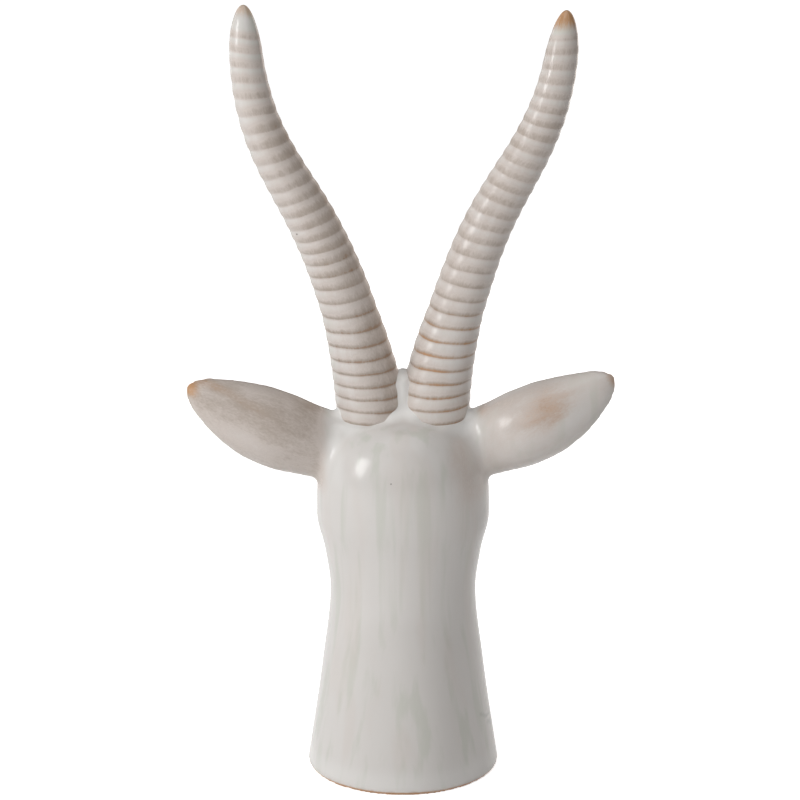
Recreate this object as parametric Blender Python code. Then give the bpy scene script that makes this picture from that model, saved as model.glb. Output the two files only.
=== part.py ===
# Antelope head statuette in glazed stoneware, cast in one piece.
# The head stands on its own neck, which is hollow and open under the foot.
# Metres, +Z up. The muzzle points to -Y, so the back of the head faces +Y.

import math

import bmesh
import bpy
import numpy as np
from mathutils import Vector

# Wall of the casting
WALL = 0.006
SOLE_EDGE = 0.0025  # rounding of the outer edge under the foot

# Neck and skull: level sections, each with a height, a half width and a half depth
FOOT_HALF_WIDTH = 0.0456
FOOT_HALF_DEPTH = 0.0525
NECK_HEIGHT = 0.050
NECK_HALF_WIDTH = 0.0382
NECK_HALF_DEPTH = 0.0430
THROAT_HEIGHT = 0.085
THROAT_HALF_WIDTH = 0.0345
THROAT_HALF_DEPTH = 0.0380
JAW_HEIGHT = 0.104
JAW_HALF_WIDTH = 0.0370
JAW_HALF_DEPTH = 0.0385
CHEEK_HEIGHT = 0.121
CHEEK_HALF_WIDTH = 0.0408
CHEEK_HALF_DEPTH = 0.0400
CROWN_HEIGHT = 0.1655
DOME_SQUARENESS = 2.6
SKULL_FORWARD = 0.006  # how far the skull's middle lies ahead of the foot's

# Muzzle: forward reach, height, half width and half height of each section
BROW_SECTION = (0.004, 0.134, 0.0385, 0.0290)
EYE_SECTION = (0.033, 0.124, 0.0345, 0.0290)
CHEEKBONE_SECTION = (0.056, 0.109, 0.0268, 0.0245)
BRIDGE_SECTION = (0.076, 0.095, 0.0208, 0.0192)
NOSE_SECTION = (0.099, 0.079, 0.0175, 0.0155)
NOSE_ROUNDING = 0.015
MUZZLE_SQUARENESS = 2.3

# Eyes, nostrils and mouth, placed along and around the muzzle
EYE_LENGTH = 0.0190
EYE_HEIGHT = 0.0110
EYE_DEPTH = 0.0100
EYE_PROUD = 0.0022
EYE_ALONG = 0.32
EYE_AROUND = 24.0
NOSTRIL_LENGTH = 0.0085
NOSTRIL_WIDTH = 0.0044
NOSTRIL_ALONG = 0.935
NOSTRIL_AROUND = 38.0
MOUTH_GROOVE = 0.0009
MOUTH_START = 0.60
MOUTH_END = 0.95
MOUTH_AROUND = -34.0

# Horns: points along each middle line as out, back and up from the foot's middle
LEFT_HORN_PATH = (
    (0.0122, -0.0100, 0.142),
    (0.0140, -0.0083, 0.165),
    (0.0180, -0.0058, 0.190),
    (0.0288, 0.0002, 0.230),
    (0.0438, 0.0060, 0.265),
    (0.0613, 0.0108, 0.298),
    (0.0693, 0.0136, 0.326),
    (0.0714, 0.0150, 0.360),
)
RIGHT_HORN_PATH = (
    (0.0122, -0.0100, 0.142),
    (0.0140, -0.0083, 0.165),
    (0.0175, -0.0058, 0.190),
    (0.0281, 0.0002, 0.230),
    (0.0416, 0.0060, 0.265),
    (0.0595, 0.0108, 0.298),
    (0.0691, 0.0136, 0.325),
    (0.0733, 0.0150, 0.3575),
)
HORN_ROOT_RADIUS = 0.0140
HORN_END_RADIUS = 0.0066
HORN_TAPER = 1.5
HORN_ROOT_FLARE = 0.0030
HORN_FLARE_LENGTH = 0.034
HORN_TIP_ROUNDING = 0.022
HORN_RING_START = 0.020  # length of plain horn below the first ring, inside the skull
HORN_CORE_LENGTH = 0.150

# Web of clay that joins the two horns at their roots
WEB_TOP = 0.188
WEB_HALF_WIDTH = 0.0080
WEB_HALF_DEPTH = 0.0095
WEB_FORWARD = 0.0075

# Rings carved round the horns
RING_PITCH = 0.00685
RING_RELIEF = 0.0008
RING_CREST = 0.20  # place of the sharp lower lip within one ring, from its lower edge
RING_CREST_RISE = 0.5  # share of the relief that the lip stands above the plain taper
RING_SHOULDER = 0.62  # place of the soft upper part of the ring
RING_SHOULDER_RISE = 0.2
RING_GROOVE_RISE = -0.5
RING_TILT = 9.0  # how far each ring lies nearer to level than square to the horn
RING_DRIFT = 0.0016  # how far the hand-carved rings stray from even spacing
RING_DRIFT_PERIOD = 17.0  # rings from one close stretch to the next
RING_DRIFT_START = 0.45
LEFT_RING_TIP_GAP = 0.0018
RIGHT_RING_TIP_GAP = 0.0050

# Ears: points along each middle line as out, back and up, and the sizes across them
LEFT_EAR_PATH = (
    (0.0240, -0.0050, 0.1506),
    (0.0540, 0.0000, 0.1600),
    (0.0800, 0.0040, 0.1712),
    (0.1003, 0.0060, 0.1830),
)
RIGHT_EAR_PATH = (
    (0.0240, -0.0050, 0.1510),
    (0.0530, 0.0000, 0.1616),
    (0.0780, 0.0040, 0.1738),
    (0.0980, 0.0060, 0.1868),
)
EAR_ROOT_HALF_HEIGHT = 0.0176
EAR_MIDDLE_HALF_HEIGHT = 0.0180
EAR_END_HALF_HEIGHT = 0.0120
EAR_MIDDLE_ALONG = 0.50
EAR_END_ALONG = 0.82
EAR_TIP_HALF_HEIGHT = 0.0065
EAR_TIP_ROUNDING = 0.010
EAR_BACK_THICKNESS = 0.0100
EAR_FRONT_THICKNESS = 0.0060
EAR_SCOOP = 0.0100
EAR_SCOOP_LENGTH = 0.7  # a lower power carries the scoop nearer to both ends of the ear

# Number of faces round and along each form
BUST_SIDES = 36
SOLE_ROWS = 3
NECK_ROWS = 12
DOME_ROWS = 12
BUST_HOLLOW_SIDES = 28
BUST_HOLLOW_ROWS = 8
MUZZLE_SIDES = 24
MUZZLE_ROWS = 12
MUZZLE_HOLLOW_SIDES = 16
MUZZLE_HOLLOW_ROWS = 8
HORN_SIDES = 16
WEB_SIDES = 16
WEB_ROWS = 8
EAR_SIDES = 16
EAR_ROWS = 12
CORE_SIDES = 10
CORE_ROWS = 10
LENS_SIDES = 12
LENS_ROWS = 6
GROOVE_SIDES = 6
GROOVE_ROWS = 8
SMOOTH_ANGLE = 32.0

PIECE_NAME = "antelope_head"
ACROSS = Vector((1, 0, 0))
BACKWARD = Vector((0, 1, 0))
UPWARD = Vector((0, 0, 1))


def clear_scene():
    for item in list(bpy.data.objects):
        bpy.data.objects.remove(item, do_unlink=True)


def stoneware_glaze():
    glaze = bpy.data.materials.new("white_stoneware_glaze")
    glaze.use_nodes = True
    shader = glaze.node_tree.nodes["Principled BSDF"]
    shader.inputs["Base Color"].default_value = (0.66, 0.62, 0.57, 1.0)
    shader.inputs["Roughness"].default_value = 0.16
    shader.inputs["Metallic"].default_value = 0.0
    return glaze


def smooth_curve(stations, place):
    """Value at a place on a smooth line through (place, value) stations, with no overshoot."""
    places = [station[0] for station in stations]
    values = [station[1] for station in stations]
    spans = [b - a for a, b in zip(places, places[1:])]
    slopes = [(b - a) / span for a, b, span in zip(values, values[1:], spans)]
    tangents = [slopes[0]]
    for before, after in zip(slopes, slopes[1:]):
        turning = before * after <= 0.0
        tangents.append(0.0 if turning else 2.0 * before * after / (before + after))
    tangents.append(slopes[-1])
    place = min(max(place, places[0]), places[-1])
    index = 0
    while index < len(spans) - 1 and place > places[index + 1]:
        index += 1
    span = spans[index]
    t = (place - places[index]) / span
    start = (2 * t**3 - 3 * t**2 + 1) * values[index]
    leave = (t**3 - 2 * t**2 + t) * span * tangents[index]
    end = (3 * t**2 - 2 * t**3) * values[index + 1]
    arrive = (t**3 - t**2) * span * tangents[index + 1]
    return start + leave + end + arrive


class SmoothPath:
    """A line of even curvature through a few points, measured along its length."""

    def __init__(self, points, samples=240):
        points = np.array(points, dtype=float)
        steps = np.linalg.norm(np.diff(points, axis=0), axis=1)
        knots = np.concatenate([[0.0], np.cumsum(steps)])
        bends = self.bends_at_knots(knots, points)
        places = np.linspace(0.0, knots[-1], samples)
        self.points = np.array([self.point_on_knots(knots, points, bends, p) for p in places])
        steps = np.linalg.norm(np.diff(self.points, axis=0), axis=1)
        self.lengths = np.concatenate([[0.0], np.cumsum(steps)])
        self.length = self.lengths[-1]

    @staticmethod
    def bends_at_knots(knots, points):
        count = len(knots)
        spans = np.diff(knots)
        matrix = np.eye(count)
        right = np.zeros_like(points)
        for i in range(1, count - 1):
            matrix[i, i - 1] = spans[i - 1]
            matrix[i, i] = 2.0 * (spans[i - 1] + spans[i])
            matrix[i, i + 1] = spans[i]
            rise = (points[i + 1] - points[i]) / spans[i]
            right[i] = 6.0 * (rise - (points[i] - points[i - 1]) / spans[i - 1])
        return np.linalg.solve(matrix, right)

    @staticmethod
    def point_on_knots(knots, points, bends, place):
        i = min(int(np.searchsorted(knots, place, side="right")) - 1, len(knots) - 2)
        span = knots[i + 1] - knots[i]
        a = (knots[i + 1] - place) / span
        b = 1.0 - a
        bend = (a**3 - a) * bends[i] + (b**3 - b) * bends[i + 1]
        return a * points[i] + b * points[i + 1] + bend * span**2 / 6.0

    def at(self, along):
        return Vector([float(np.interp(along, self.lengths, self.points[:, k])) for k in range(3)])

    def heading(self, along):
        reach = self.length * 0.01
        start = self.at(max(along - reach, 0.0))
        end = self.at(min(along + reach, self.length))
        return (end - start).normalized()


def rounded_end(distance, rounding):
    """Share of the full size at a distance from a rounded end."""
    if distance >= rounding:
        return 1.0
    return math.sqrt(max(0.0, 1.0 - (1.0 - distance / rounding) ** 2))


def oval(centre, across, up, half_width, half_height, sides, squareness=2.0):
    ring = []
    power = 2.0 / squareness
    for step in range(sides):
        angle = 2.0 * math.pi * step / sides
        c = math.cos(angle)
        s = math.sin(angle)
        x = math.copysign(abs(c) ** power, c) * half_width
        y = math.copysign(abs(s) ** power, s) * half_height
        ring.append(centre + across * x + up * y)
    return ring


def turn_faces_outward(mesh):
    shape = bmesh.new()
    shape.from_mesh(mesh)
    bmesh.ops.recalc_face_normals(shape, faces=shape.faces)
    shape.to_mesh(mesh)
    shape.free()


def solid_from_rings(name, rings, start_point=None, end_point=None):
    """A closed mesh through rings of points that have the same number of sides."""
    points = [point for ring in rings for point in ring]
    sides = len(rings[0])
    faces = []
    for row in range(len(rings) - 1):
        for side in range(sides):
            a = row * sides + side
            b = row * sides + (side + 1) % sides
            faces.append((a, b, b + sides, a + sides))
    last = (len(rings) - 1) * sides
    if start_point is None:
        faces.append(tuple(reversed(range(sides))))
    else:
        points.append(start_point)
        hub = len(points) - 1
        faces += [((side + 1) % sides, side, hub) for side in range(sides)]
    if end_point is None:
        faces.append(tuple(range(last, last + sides)))
    else:
        points.append(end_point)
        hub = len(points) - 1
        faces += [(last + side, last + (side + 1) % sides, hub) for side in range(sides)]
    mesh = bpy.data.meshes.new(name)
    mesh.from_pydata([tuple(point) for point in points], [], faces)
    turn_faces_outward(mesh)
    solid = bpy.data.objects.new(name, mesh)
    bpy.context.scene.collection.objects.link(solid)
    return solid


def bust_section(height, inset):
    """Half width, half depth and forward shift of the neck and skull at a height."""
    widths = (
        (0.0, FOOT_HALF_WIDTH),
        (NECK_HEIGHT, NECK_HALF_WIDTH),
        (THROAT_HEIGHT, THROAT_HALF_WIDTH),
        (JAW_HEIGHT, JAW_HALF_WIDTH),
        (CHEEK_HEIGHT, CHEEK_HALF_WIDTH),
        (CROWN_HEIGHT, 0.0),
    )
    depths = (
        (0.0, FOOT_HALF_DEPTH),
        (NECK_HEIGHT, NECK_HALF_DEPTH),
        (THROAT_HEIGHT, THROAT_HALF_DEPTH),
        (JAW_HEIGHT, JAW_HALF_DEPTH),
        (CHEEK_HEIGHT, CHEEK_HALF_DEPTH),
        (CROWN_HEIGHT, 0.0),
    )
    lean = ((0.0, 0.0), (CHEEK_HEIGHT, SKULL_FORWARD), (CROWN_HEIGHT, SKULL_FORWARD))
    forward = smooth_curve(lean, height)
    if height <= CHEEK_HEIGHT:
        return smooth_curve(widths, height) - inset, smooth_curve(depths, height) - inset, forward
    rise = (height - CHEEK_HEIGHT) / (CROWN_HEIGHT - inset - CHEEK_HEIGHT)
    dome = max(0.0, 1.0 - rise**DOME_SQUARENESS) ** (1.0 / DOME_SQUARENESS)
    return (CHEEK_HALF_WIDTH - inset) * dome, (CHEEK_HALF_DEPTH - inset) * dome, forward


def bust_ring(height, inset, sides, edge=0.0):
    half_width, half_depth, forward = bust_section(height, inset)
    centre = Vector((0.0, -forward, height))
    return oval(centre, ACROSS, BACKWARD, half_width - edge, half_depth - edge, sides)


def dome_heights(start, top, rows):
    """Heights that crowd together towards the top, where the dome turns over."""
    return [start + (top - start) * math.sin(0.5 * math.pi * row / rows) for row in range(1, rows)]


def make_bust():
    rings = []
    for row in range(SOLE_ROWS):
        turn = 0.5 * math.pi * row / SOLE_ROWS
        height = SOLE_EDGE * (1.0 - math.cos(turn))
        edge = SOLE_EDGE * (1.0 - math.sin(turn))
        rings.append(bust_ring(height, 0.0, BUST_SIDES, edge))
    for row in range(NECK_ROWS + 1):
        height = SOLE_EDGE + (CHEEK_HEIGHT - SOLE_EDGE) * row / NECK_ROWS
        rings.append(bust_ring(height, 0.0, BUST_SIDES))
    for height in dome_heights(CHEEK_HEIGHT, CROWN_HEIGHT, DOME_ROWS):
        rings.append(bust_ring(height, 0.0, BUST_SIDES))
    crown = Vector((0.0, -SKULL_FORWARD, CROWN_HEIGHT))
    return solid_from_rings("bust", rings, end_point=crown)


def make_bust_hollow():
    """The space inside the neck and skull, which runs out below the foot."""
    mouth = bust_ring(0.0, WALL, BUST_HOLLOW_SIDES)
    rings = [[point - UPWARD * WALL for point in mouth]]
    for row in range(BUST_HOLLOW_ROWS + 1):
        rings.append(bust_ring(CHEEK_HEIGHT * row / BUST_HOLLOW_ROWS, WALL, BUST_HOLLOW_SIDES))
    top = CROWN_HEIGHT - WALL
    for height in dome_heights(CHEEK_HEIGHT, top, BUST_HOLLOW_ROWS):
        rings.append(bust_ring(height, WALL, BUST_HOLLOW_SIDES))
    return solid_from_rings("bust_hollow", rings, end_point=Vector((0.0, -SKULL_FORWARD, top)))


class Muzzle:
    """The muzzle's middle line from inside the skull to the nose, with its sizes along it."""

    def __init__(self):
        sections = (BROW_SECTION, EYE_SECTION, CHEEKBONE_SECTION, BRIDGE_SECTION, NOSE_SECTION)
        self.path = SmoothPath([(0.0, -forward, height) for forward, height, _, _ in sections])
        self.length = self.path.length
        reaches = -self.path.points[:, 1]
        places = [float(np.interp(section[0], reaches, self.path.lengths)) for section in sections]
        self.widths = [(place, section[2]) for place, section in zip(places, sections)]
        self.heights = [(place, section[3]) for place, section in zip(places, sections)]

    def half_sizes(self, along, inset=0.0):
        closing = rounded_end(self.length - inset - along, NOSE_ROUNDING)
        half_width = (smooth_curve(self.widths, along) - inset) * closing
        half_height = (smooth_curve(self.heights, along) - inset) * closing
        return half_width, half_height

    def upward(self, along):
        return self.path.heading(along).cross(ACROSS)

    def ring(self, along, inset, sides):
        half_width, half_height = self.half_sizes(along, inset)
        centre = self.path.at(along)
        return oval(centre, ACROSS, self.upward(along), half_width, half_height, sides, MUZZLE_SQUARENESS)

    def skin(self, share, around):
        """A point on the skin and the way out of it, so far along and so many degrees round."""
        along = self.length * share
        half_width, half_height = self.half_sizes(along)
        up = self.upward(along)
        angle = math.radians(around)
        power = 2.0 / MUZZLE_SQUARENESS
        sideways = math.cos(angle) ** power * half_width
        upwards = math.copysign(abs(math.sin(angle)) ** power, angle) * half_height
        outward = ACROSS * math.cos(angle) + up * math.sin(angle)
        return self.path.at(along) + ACROSS * sideways + up * upwards, outward


def make_muzzle(name, muzzle, inset, sides, rows):
    reach = muzzle.length - inset
    shares = [math.sin(0.5 * math.pi * row / rows) for row in range(rows)]
    rings = [muzzle.ring(reach * share, inset, sides) for share in shares]
    return solid_from_rings(name, rings, end_point=muzzle.path.at(reach))


def mirrored(point, side):
    return Vector((point.x * side, point.y, point.z))


def make_lens(name, centre, outward, along, length, height, depth):
    """A flattened ball whose length runs along the face."""
    outward = outward.normalized()
    along = (along - outward * along.dot(outward)).normalized()
    up = outward.cross(along)
    rings = []
    for row in range(1, LENS_ROWS):
        turn = math.pi * row / LENS_ROWS
        size = math.sin(turn)
        middle = centre - outward * (0.5 * depth * math.cos(turn))
        rings.append(oval(middle, along, up, 0.5 * length * size, 0.5 * height * size, LENS_SIDES))
    start = centre - outward * (0.5 * depth)
    end = centre + outward * (0.5 * depth)
    return solid_from_rings(name, rings, start_point=start, end_point=end)


def face_lens(name, muzzle, side, place, size, proud):
    """A lens set in the skin of the face, of which so much stands proud."""
    share, around = place
    length, height, depth = size
    skin, outward = muzzle.skin(share, around)
    centre = skin + outward * (proud - 0.5 * depth)
    along = muzzle.path.heading(share * muzzle.length)
    return make_lens(name, mirrored(centre, side), mirrored(outward, side), along, length, height, depth)


def make_eye(name, muzzle, side):
    size = (EYE_LENGTH, EYE_HEIGHT, EYE_DEPTH)
    return face_lens(name, muzzle, side, (EYE_ALONG, EYE_AROUND), size, EYE_PROUD)


def make_nostril(name, muzzle, side):
    size = (NOSTRIL_LENGTH, NOSTRIL_WIDTH, NOSTRIL_WIDTH)
    return face_lens(name, muzzle, side, (NOSTRIL_ALONG, NOSTRIL_AROUND), size, 0.5 * NOSTRIL_WIDTH)


def make_mouth_groove(name, muzzle, side):
    """A thin round cutter that follows the skin of the muzzle along the lips."""
    spine = []
    for row in range(GROOVE_ROWS + 1):
        share = MOUTH_START + (MOUTH_END - MOUTH_START) * row / GROOVE_ROWS
        spine.append(mirrored(muzzle.skin(share, MOUTH_AROUND)[0], side))
    rings = []
    for index, point in enumerate(spine):
        before = spine[max(index - 1, 0)]
        after = spine[min(index + 1, GROOVE_ROWS)]
        ahead = (after - before).normalized()
        across = ahead.cross(UPWARD).normalized()
        rings.append(oval(point, across, across.cross(ahead), MOUTH_GROOVE, MOUTH_GROOVE, GROOVE_SIDES))
    return solid_from_rings(name, rings)


def side_path(points, side):
    """A smooth line on one side of the head: 1 is the +X side and -1 is the other."""
    return SmoothPath([(out * side, back, up) for out, back, up in points])


def horn_radius(path, along):
    share = max(0.0, along - HORN_RING_START) / (path.length - HORN_RING_START)
    radius = HORN_ROOT_RADIUS + (HORN_END_RADIUS - HORN_ROOT_RADIUS) * share**HORN_TAPER
    clear = max(0.0, 1.0 - max(0.0, along - HORN_RING_START) / HORN_FLARE_LENGTH)
    return radius + HORN_ROOT_FLARE * clear**2


def horn_frame(path, along, side):
    """Directions across and up a ring, which lies nearer to level than square to the horn."""
    ahead = path.heading(along)
    outward = math.atan2(ahead.x * side, ahead.z)
    levelled = outward - math.radians(RING_TILT)
    across = Vector((math.cos(levelled) * side, 0.0, -math.sin(levelled)))
    deep = ahead.cross(across).normalized()
    return across, deep


def ring_lines(path, tip_gap):
    """Lengths along the horn at which one ring ends and the next begins, from the root up."""
    lines = []
    number = 0
    line = path.length - tip_gap
    while line >= HORN_RING_START:
        lines.append(line)
        number += 1
        turn = 2.0 * math.pi * (number / RING_DRIFT_PERIOD - RING_DRIFT_START)
        line = path.length - tip_gap - RING_PITCH * number - RING_DRIFT * math.sin(turn)
    return lines[::-1]


def horn_rows(path, tip_gap):
    """Each row along the horn as a length and how far it stands proud of the plain taper."""
    lines = ring_lines(path, tip_gap)
    rows = [(0.0, 0.0), (lines[0] - 0.5 * RING_PITCH, 0.0)]
    for low, high in zip(lines, lines[1:]):
        span = high - low
        rows.append((low, RING_GROOVE_RISE * RING_RELIEF))
        rows.append((low + span * RING_CREST, RING_CREST_RISE * RING_RELIEF))
        rows.append((low + span * RING_SHOULDER, RING_SHOULDER_RISE * RING_RELIEF))
    rows.append((lines[-1], RING_GROOVE_RISE * RING_RELIEF))
    return rows


def make_horn(name, side, points, tip_gap):
    path = side_path(points, side)
    rings = []
    for along, proud in horn_rows(path, tip_gap):
        across, deep = horn_frame(path, along, side)
        closing = rounded_end(path.length - along, HORN_TIP_ROUNDING)
        radius = (horn_radius(path, along) + proud) * closing
        rings.append(oval(path.at(along), across, deep, radius, radius, HORN_SIDES))
    return solid_from_rings(name, rings, end_point=path.at(path.length))


def make_horn_core(name, side, points):
    """Hollow inside a horn, which narrows until the walls meet."""
    path = side_path(points, side)
    rings = []
    for row in range(CORE_ROWS):
        along = HORN_CORE_LENGTH * row / CORE_ROWS
        across, deep = horn_frame(path, along, side)
        closing = rounded_end(HORN_CORE_LENGTH - along, HORN_TIP_ROUNDING)
        radius = (horn_radius(path, along) - WALL) * closing
        rings.append(oval(path.at(along), across, deep, radius, radius, CORE_SIDES))
    return solid_from_rings(name, rings, end_point=path.at(HORN_CORE_LENGTH))


def make_horn_web():
    """Clay between the horns, which fills the narrow foot of the gap."""
    rings = []
    for row in range(WEB_ROWS):
        height = CHEEK_HEIGHT + (WEB_TOP - CHEEK_HEIGHT) * math.sin(0.5 * math.pi * row / WEB_ROWS)
        closing = rounded_end(WEB_TOP - height, WEB_HALF_WIDTH)
        centre = Vector((0.0, -WEB_FORWARD, height))
        half_width = WEB_HALF_WIDTH * closing
        half_depth = WEB_HALF_DEPTH * closing
        rings.append(oval(centre, ACROSS, BACKWARD, half_width, half_depth, WEB_SIDES))
    return solid_from_rings("horn_web", rings, end_point=Vector((0.0, -WEB_FORWARD, WEB_TOP)))


def ear_section(path, share):
    """Middle, upward and backward directions, half height and scoop of the ear at a share of it."""
    along = path.length * share
    ahead = path.heading(along)
    up = (UPWARD - ahead * ahead.z).normalized()
    behind = BACKWARD - ahead * ahead.y
    behind = (behind - up * behind.dot(up)).normalized()
    heights = (
        (0.0, EAR_ROOT_HALF_HEIGHT),
        (EAR_MIDDLE_ALONG, EAR_MIDDLE_HALF_HEIGHT),
        (EAR_END_ALONG, EAR_END_HALF_HEIGHT),
        (1.0, EAR_TIP_HALF_HEIGHT),
    )
    half_height = smooth_curve(heights, share) * rounded_end(path.length - along, EAR_TIP_ROUNDING)
    scoop = EAR_SCOOP * math.sin(math.pi * share) ** EAR_SCOOP_LENGTH
    return path.at(along), up, behind, half_height, scoop


def make_ear(name, side, points):
    """A leaf-shaped ear, full and round behind and scooped out in front."""
    path = side_path(points, side)
    rings = []
    for row in range(EAR_ROWS):
        share = math.sin(0.5 * math.pi * row / EAR_ROWS)
        centre, up, behind, half_height, scoop = ear_section(path, share)
        fullness = half_height / EAR_ROOT_HALF_HEIGHT
        ring = []
        for step in range(EAR_SIDES):
            angle = 2.0 * math.pi * step / EAR_SIDES
            s = math.sin(angle)
            depth = EAR_BACK_THICKNESS * s if s >= 0.0 else EAR_FRONT_THICKNESS * s + scoop * s * s
            ring.append(centre + up * (half_height * math.cos(angle)) + behind * (depth * fullness))
        rings.append(ring)
    return solid_from_rings(name, rings, end_point=path.at(path.length))


def combine(piece, tool, operation):
    tool.hide_render = True
    tool.display_type = "WIRE"
    step = piece.modifiers.new(operation.lower() + "_" + tool.name, "BOOLEAN")
    step.operation = operation
    step.solver = "EXACT"
    step.object = tool


def settle_shape(piece):
    """Keep the combined shape as the piece's own mesh and take the tools away."""
    graph = bpy.context.evaluated_depsgraph_get()
    mesh = bpy.data.meshes.new_from_object(piece.evaluated_get(graph))
    tools = [step.object for step in piece.modifiers]
    piece.modifiers.clear()
    piece.data = mesh
    for tool in tools:
        bpy.data.objects.remove(tool, do_unlink=True)


def centre_on_floor(piece):
    """Put the middle of the whole outline over the origin, with the foot at height nought."""
    corners = np.array([vertex.co[:] for vertex in piece.data.vertices])
    low = corners.min(axis=0)
    high = corners.max(axis=0)
    shift = Vector((-(low[0] + high[0]) / 2, -(low[1] + high[1]) / 2, -low[2]))
    for vertex in piece.data.vertices:
        vertex.co += shift


def make_antelope_head():
    head = make_bust()
    head.name = PIECE_NAME
    muzzle = Muzzle()
    added = [
        make_muzzle("muzzle", muzzle, 0.0, MUZZLE_SIDES, MUZZLE_ROWS),
        make_ear("left_ear", 1, LEFT_EAR_PATH),
        make_ear("right_ear", -1, RIGHT_EAR_PATH),
        make_horn("left_horn", 1, LEFT_HORN_PATH, LEFT_RING_TIP_GAP),
        make_horn("right_horn", -1, RIGHT_HORN_PATH, RIGHT_RING_TIP_GAP),
        make_horn_web(),
        make_eye("left_eye", muzzle, 1),
        make_eye("right_eye", muzzle, -1),
    ]
    taken = [
        make_bust_hollow(),
        make_muzzle("muzzle_hollow", muzzle, WALL, MUZZLE_HOLLOW_SIDES, MUZZLE_HOLLOW_ROWS),
        make_horn_core("left_horn_core", 1, LEFT_HORN_PATH),
        make_horn_core("right_horn_core", -1, RIGHT_HORN_PATH),
        make_nostril("left_nostril", muzzle, 1),
        make_nostril("right_nostril", muzzle, -1),
        make_mouth_groove("left_lip", muzzle, 1),
        make_mouth_groove("right_lip", muzzle, -1),
    ]
    for tool in added:
        combine(head, tool, "UNION")
    for tool in taken:
        combine(head, tool, "DIFFERENCE")
    settle_shape(head)
    centre_on_floor(head)
    head.data.materials.clear()
    head.data.materials.append(stoneware_glaze())
    head.data.shade_smooth()
    head.data.set_sharp_from_angle(angle=math.radians(SMOOTH_ANGLE))


clear_scene()
make_antelope_head()
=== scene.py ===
import math

import bmesh
import bpy
import numpy as np
from mathutils import Matrix, Vector
from mathutils.bvhtree import BVHTree


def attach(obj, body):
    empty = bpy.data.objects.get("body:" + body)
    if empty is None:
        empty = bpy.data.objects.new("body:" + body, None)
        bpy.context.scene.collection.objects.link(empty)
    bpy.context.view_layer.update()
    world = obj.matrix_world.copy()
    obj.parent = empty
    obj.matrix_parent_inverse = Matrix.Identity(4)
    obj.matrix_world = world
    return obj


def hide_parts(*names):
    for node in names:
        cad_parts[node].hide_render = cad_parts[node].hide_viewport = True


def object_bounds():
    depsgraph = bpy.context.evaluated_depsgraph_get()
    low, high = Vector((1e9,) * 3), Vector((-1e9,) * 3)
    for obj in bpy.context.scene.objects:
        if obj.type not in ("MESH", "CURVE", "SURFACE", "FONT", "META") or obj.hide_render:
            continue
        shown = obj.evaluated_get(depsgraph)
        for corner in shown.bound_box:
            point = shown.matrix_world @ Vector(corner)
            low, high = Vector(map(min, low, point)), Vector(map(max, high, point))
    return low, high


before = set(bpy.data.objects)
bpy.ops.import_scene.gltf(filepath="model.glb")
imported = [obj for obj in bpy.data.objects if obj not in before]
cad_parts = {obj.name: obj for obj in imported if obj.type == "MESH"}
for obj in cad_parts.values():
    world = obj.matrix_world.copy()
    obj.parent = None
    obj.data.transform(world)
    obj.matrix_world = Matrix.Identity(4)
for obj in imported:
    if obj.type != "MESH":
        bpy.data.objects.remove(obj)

# Antelope head in glazed stoneware, seen from behind, standing on its hollow neck.
# Metres. The muzzle points to -Y, and "left" is the left of the photo, which is +X.
# Every form is modelled about the middle of the foot and then moved to footPlace.

cadLow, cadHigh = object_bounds()
cadNode = "antelope_head"
footPlace = Vector((-0.001087, 0.025035, 0.0))
across, backward, upward = Vector((1, 0, 0)), Vector((0, 1, 0)), Vector((0, 0, 1))
mm = 0.001
quarterTurn = 0.5 * math.pi
tinyLength = 0.000001  # keeps a length that is divided by from being nothing


# Small helpers

def linearColour(hexCode):
    # sRGB hex to the linear values that the shaders want
    parts = [int(hexCode[i:i + 2], 16) / 255 for i in (1, 3, 5)]
    return tuple(c / 12.92 if c <= 0.04045 else ((c + 0.055) / 1.055) ** 2.4 for c in parts) + (1.0,)


def addNode(tree, kind, settings=None, inputs=None):
    node = tree.nodes.new(kind)
    node.location = (190 * (len(tree.nodes) % 14), -230 * (len(tree.nodes) // 14))
    for name, value in (settings or {}).items():
        setattr(node, name, value)
    for key, value in (inputs or {}).items():
        if isinstance(value, bpy.types.NodeSocket):
            tree.links.new(value, node.inputs[key])
        else:
            node.inputs[key].default_value = value
    return node


numberSum, arrowSum = "ShaderNodeMath", "ShaderNodeVectorMath"


def addSums(tree, known, kind, sums):
    # a run of sums, each kept under a name that later ones can use: name, what it does, its values
    for name, operation, *values in sums:
        inputs = {i: known.get(value, value) for i, value in enumerate(values) if value is not None}
        known[name] = addNode(tree, kind, {"operation": operation, "label": name}, inputs).outputs[0]


def smoothCurve(stations, places):
    # values along a smooth line through (place, value) stations, with no overshoot
    x = np.array([s[0] for s in stations], float)
    y = np.array([s[1] for s in stations], float)
    span = np.diff(x)
    slope = np.diff(y) / span
    product, total = slope[:-1] * slope[1:], slope[:-1] + slope[1:]
    inner = np.where(product > 0, 2 * product / np.where(total == 0, 1, total), 0)
    lean = np.concatenate([[slope[0]], inner, [slope[-1]]])
    p = np.clip(np.asarray(places, float), x[0], x[-1])
    i = np.clip(np.searchsorted(x, p, side="right") - 1, 0, len(span) - 1)
    h, t = span[i], (p - x[i]) / span[i]
    return ((2 * t**3 - 3 * t**2 + 1) * y[i] + (t**3 - 2 * t**2 + t) * h * lean[i]
            + (3 * t**2 - 2 * t**3) * y[i + 1] + (t**3 - t**2) * h * lean[i + 1])


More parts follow.
